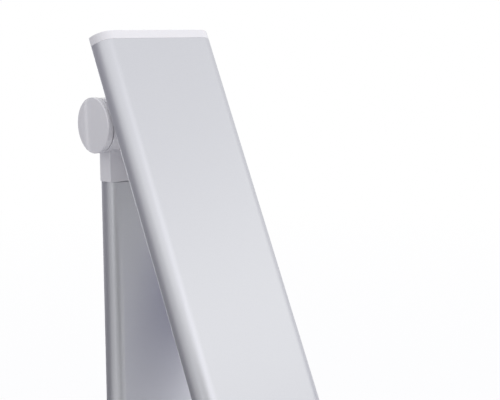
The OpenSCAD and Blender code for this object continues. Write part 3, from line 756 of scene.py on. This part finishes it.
def cut_deck_openings(piece):
    """Cuts the holes for the buttons and the pedestal through a piece of the base."""
    low, high = extent("base_housing")
    tools = []
    for button in BUTTONS:
        button_low, button_high = extent(button)
        centre = (button_low + button_high) / 2
        centre.z = high.z
        tools.append(add_rod("hole", centre, BUTTON_RADIUS + SHOW_GAP, high.z - low.z, Z))
    half_width = NECK_HALF_WIDTH + SHOW_GAP
    half_depth = NECK_HALF_DEPTH + SHOW_GAP
    slot = add_block("slot", Vector((-half_width, lower_hinge.y - half_depth, (low.z + high.z) / 2)),
                     Vector((half_width, lower_hinge.y + half_depth, high.z + PAST_END)))
    round_edges(slot, lambda e: runs_along(e, Z), NECK_CHAMFER, CHAMFER_STEPS)
    combine(piece, tools + [slot], "DIFFERENCE")


def make_base_housing():
    low, high = extent("base_housing")
    housing = add_block("base_moulding", low, high)
    round_edges(housing, lambda e: runs_along(e, Z), BASE_CORNER_RADIUS, BASE_CORNER_STEPS)
    round_edges(housing, lambda e: lies_at(e, Z, high.z), BASE_EDGE_RADIUS, BASE_EDGE_STEPS)
    with editing(housing):
        choose(housing, "FACE", lambda f: looks_along(f, Z, 1))
        bpy.ops.mesh.inset(thickness=BASE_RIM - BASE_EDGE_RADIUS)
        bpy.ops.mesh.extrude_region_move(TRANSFORM_OT_translate={"value": (0, 0, deck_low.z - high.z)})
        choose(housing, "FACE", lambda f: looks_along(f, Z, -1))
        bpy.ops.mesh.inset(thickness=BASE_WALL)
        bpy.ops.mesh.extrude_region_move(TRANSFORM_OT_translate={"value": (0, 0, roof - low.z)})
    cut_deck_openings(housing)
    pin_low, pin_high = extent("dc_socket_pin")
    mouth = (pin_low + pin_high) / 2
    mouth.y = high.y
    inlet = add_rod("inlet", mouth, INLET_RADIUS, INLET_CUT, Y, INLET_SIDES)
    combine(housing, [inlet], "DIFFERENCE")
    settle(housing, "base_housing", crisp_from=CRISP_FROM_ON_PROFILES)


def make_base_deck():
    deck = add_block("aluminium_deck", deck_low, deck_high)
    corner_radius = BASE_CORNER_RADIUS - BASE_RIM - DECK_GAP
    round_edges(deck, lambda e: runs_along(e, Z), corner_radius, BASE_CORNER_STEPS)
    cut_deck_openings(deck)
    round_edges(deck, lambda e: lies_at(e, Z, deck_high.z), DECK_EDGE_RADIUS, DECK_EDGE_STEPS)
    settle(deck, "base_deck", crisp_from=CRISP_FROM_ON_PROFILES)


def make_button(node):
    low, high = extent(node)
    flange_top = roof - FLANGE_GAP
    flange_foot = flange_top - FLANGE_THICKNESS
    centre = (low + high) / 2
    centre.z = (flange_foot + high.z) / 2
    button = add_rod(node + "_cap", centre, BUTTON_RADIUS, high.z - flange_foot, Z)
    with editing(button):
        choose(button, "FACE", lambda f: looks_along(f, Z, 1))
        for share in DISH_STEPS:
            bpy.ops.mesh.inset(thickness=BUTTON_RADIUS * share / 2)
            bpy.ops.transform.translate(value=(0, 0, -BUTTON_DISH * (1 - share)))
    round_edges(button, lambda e: lies_at(e, Z, high.z), BUTTON_CROWN, BUTTON_CROWN_STEPS)
    centre.z = (flange_foot + flange_top) / 2
    flange = add_rod("flange", centre, (high.x - low.x) / 2, FLANGE_THICKNESS, Z)
    centre.z = (low.z + flange_top) / 2
    stem = add_rod("stem", centre, STEM_RADIUS, flange_top - low.z, Z, STEM_SIDES)
    combine(button, [flange, stem], "UNION")
    settle(button, node, crisp_from=CRISP_FROM_ON_PROFILES)


# Studio: a floor and surroundings that are white to the eye and in the metal, a soft key from the front
# right, and cards round the lamp that only reflections show, which draw the soft edges along the metal
WHITE = (1, 1, 1, 1)
AMBIENT = 0.9
AMBIENT_COLOUR = "#f1f1f4"
KEY_STRENGTH = 1.14
KEY_SPREAD = math.radians(50)
KEY_FROM = Vector((0.35, -0.6, 0.72))
FLOOR_SIZE = 60
FLOOR_BOUNCE = "#acacb0"
FLOOR_PAINT = "#f4f4f5"
FLOOR_LIFT = 0.5
SHADOW_REACH = 0.4
FLOOR_WHITE_FROM = 2
PAPER = "#f8f8fb"
# Name, place, the point that it faces, width and height, greys at foot and top
HUNG_CARDS = (
    ("overhead_card", (0, 0, 1), (0, 0, 0), (1.78, 1.78), (0.82, 0.82)),
    ("front_strip", (-0.08, -0.4, 0.65), (-0.08, 0, 0.65), (0.22, 0.64), (1.35, 0.87)),
    ("reflector", (0.18, -0.03, 0.175), (-0.42, 0.77, 0.175), (0.14, 0.09), (2, 2)),
    ("cover_strip", (-0.2, 0.33, 0.36), (-0.034, 0.045, 0.36), (0.006, 0.3), (1.5, 1.5)),
)
# Name, bearing in degrees from straight in front, distance, width and height, greys at foot and top, tint
STANDING_CARDS = (
    ("back_left_card", -127, 0.35, (0.44, 0.8), (0.14, 0.51), "#f0eef9"),
    ("left_card", -82, 0.5, (0.42, 0.8), (0.3, 0.86), PAPER),
    ("edge_strip", -56.4, 0.476, (0.08, 0.4), (0.26, 1.28), PAPER),
    ("front_left_card", -45, 0.5, (0.42, 0.44), (0.44, 0.2), PAPER),
    ("front_card", -8, 0.5, (0.4, 0.36), (0.2, 0.06), PAPER),
    ("front_right_card", 45, 0.5, (0.5, 0.31), (0, 0.22), "#a4a4ff"),
    ("right_card", 102, 0.5, (0.7, 0.75), (0.72, 0.8), PAPER),
    ("rim_strip", -178, 0.6, (0.25, 0.5), (1.8, 1.8), PAPER),
)


def seen_directly(tree):
    """1 for rays that show a surface to the camera, straight or by way of metal or glass."""
    path = add_node(tree, "ShaderNodeLightPath")
    seen = path.outputs["Is Camera Ray"]
    for kind in ("Is Glossy Ray", "Is Transmission Ray"):
        either = add_node(tree, "ShaderNodeMath", {0: seen, 1: path.outputs[kind]}, operation="MAXIMUM")
        seen = either.outputs[0]
    return seen


def set_world():
    world = bpy.data.worlds.new("white_studio")
    scene.world = world
    world.use_nodes = True
    tree = world.node_tree
    tree.nodes.clear()
    ambient = add_node(tree, "ShaderNodeBackground", {"Color": linear(AMBIENT_COLOUR), "Strength": AMBIENT})
    white = add_node(tree, "ShaderNodeBackground", {"Color": WHITE, "Strength": 1})
    mix = add_node(tree, "ShaderNodeMixShader", {
        0: seen_directly(tree), 1: ambient.outputs[0], 2: white.outputs[0]})
    add_node(tree, "ShaderNodeOutputWorld", {"Surface": mix.outputs[0]})


def set_floor():
    bpy.ops.object.select_all(action="DESELECT")
    bpy.ops.mesh.primitive_plane_add(size=FLOOR_SIZE)
    floor = bpy.context.object
    floor.name = "floor"
    material, tree, shader, coordinates = new_material("white_painted_floor")
    tree.nodes.remove(shader)
    bounce = add_node(tree, "ShaderNodeBsdfDiffuse", {"Color": linear(FLOOR_BOUNCE)})
    paint = add_node(tree, "ShaderNodeBsdfDiffuse", {"Color": linear(FLOOR_PAINT)})
    glow = add_node(tree, "ShaderNodeEmission", {"Color": WHITE, "Strength": 1})
    # The paint takes the lamp's shadow near it and turns pure white further off, so that no horizon shows
    distance = add_node(tree, "ShaderNodeVectorMath", {0: coordinates}, operation="LENGTH")
    lift = add_node(tree, "ShaderNodeMapRange", {
        "Value": distance.outputs["Value"], "From Min": SHADOW_REACH, "From Max": FLOOR_WHITE_FROM,
        "To Min": FLOOR_LIFT, "To Max": 1})
    lifted = add_node(tree, "ShaderNodeMixShader", {
        0: lift.outputs["Result"], 1: paint.outputs[0], 2: glow.outputs[0]})
    mix = add_node(tree, "ShaderNodeMixShader", {
        0: seen_directly(tree), 1: bounce.outputs[0], 2: lifted.outputs[0]})
    tree.links.new(mix.outputs[0], tree.nodes["Material Output"].inputs["Surface"])
    floor.data.materials.append(material)


def set_key():
    key = bpy.data.objects.new("key", bpy.data.lights.new("key", "SUN"))
    scene.collection.objects.link(key)
    key.data.energy = KEY_STRENGTH
    key.data.angle = KEY_SPREAD
    key.rotation_euler = (-KEY_FROM).to_track_quat("-Z", "Y").to_euler()
    key.visible_glossy = False


def hang_card(name, place, target, size, greys, tint=PAPER):
    """Hangs a card that only reflections show, from one grey at its foot to another at its top."""
    bpy.ops.object.select_all(action="DESELECT")
    bpy.ops.mesh.primitive_plane_add(size=1)
    card = bpy.context.object
    card.name = name
    card.scale = (*size, 1)
    card.location = place
    card.rotation_euler = (Vector(target) - Vector(place)).to_track_quat("Z", "Y").to_euler()
    bpy.ops.object.transform_apply(location=True, rotation=True, scale=True)
    height = size[1]
    foot = place[Z] - height / 2
    material, tree, shader, coordinates = new_material(name + "_paper")
    tree.nodes.remove(shader)
    rise = add_node(tree, "ShaderNodeSeparateXYZ", {"Vector": coordinates})
    grey = add_node(tree, "ShaderNodeMapRange", {
        "Value": rise.outputs["Z"], "From Min": foot, "From Max": foot + height,
        "To Min": greys[0], "To Max": greys[1]})
    glow = add_node(tree, "ShaderNodeEmission", {"Color": linear(tint), "Strength": grey.outputs["Result"]})
    tree.links.new(glow.outputs[0], tree.nodes["Material Output"].inputs["Surface"])
    card.data.materials.append(material)
    card.visible_camera = False
    card.visible_diffuse = False
    card.visible_transmission = False
    card.visible_shadow = False


def stand_card(name, bearing, distance, size, greys, tint):
    """Stands a card on the floor at a bearing from straight in front of the lamp, turned towards it."""
    turn = math.radians(bearing)
    middle = Vector((0, upper_hinge.y, size[1] / 2))
    place = middle + Vector((math.sin(turn), -math.cos(turn), 0)) * distance
    hang_card(name, place, middle, size, greys, tint)


set_camera()
set_world()
set_floor()
set_key()
for card in HUNG_CARDS:
    hang_card(*card)
for card in STANDING_CARDS:
    stand_card(*card)

make_head_shell()
make_head_cap("head_cap_upper", 1)
make_head_cap("head_cap_lower", -1)
make_light_frame()
make_diffuser()
for end_cover in END_COVERS:
    make_end_cover(*end_cover)
make_column_neck()
make_column_tube()
make_column_foot()
make_pedestal()
make_hinge_bracket()
for screws in SCREWS:
    make_screws(*screws)
make_base_housing()
make_base_deck()
for button_node in BUTTONS:
    make_button(button_node)
for name, part in frame["nodes"].items():
    give_finish(part, name)

scene.view_settings.view_transform = "Standard"
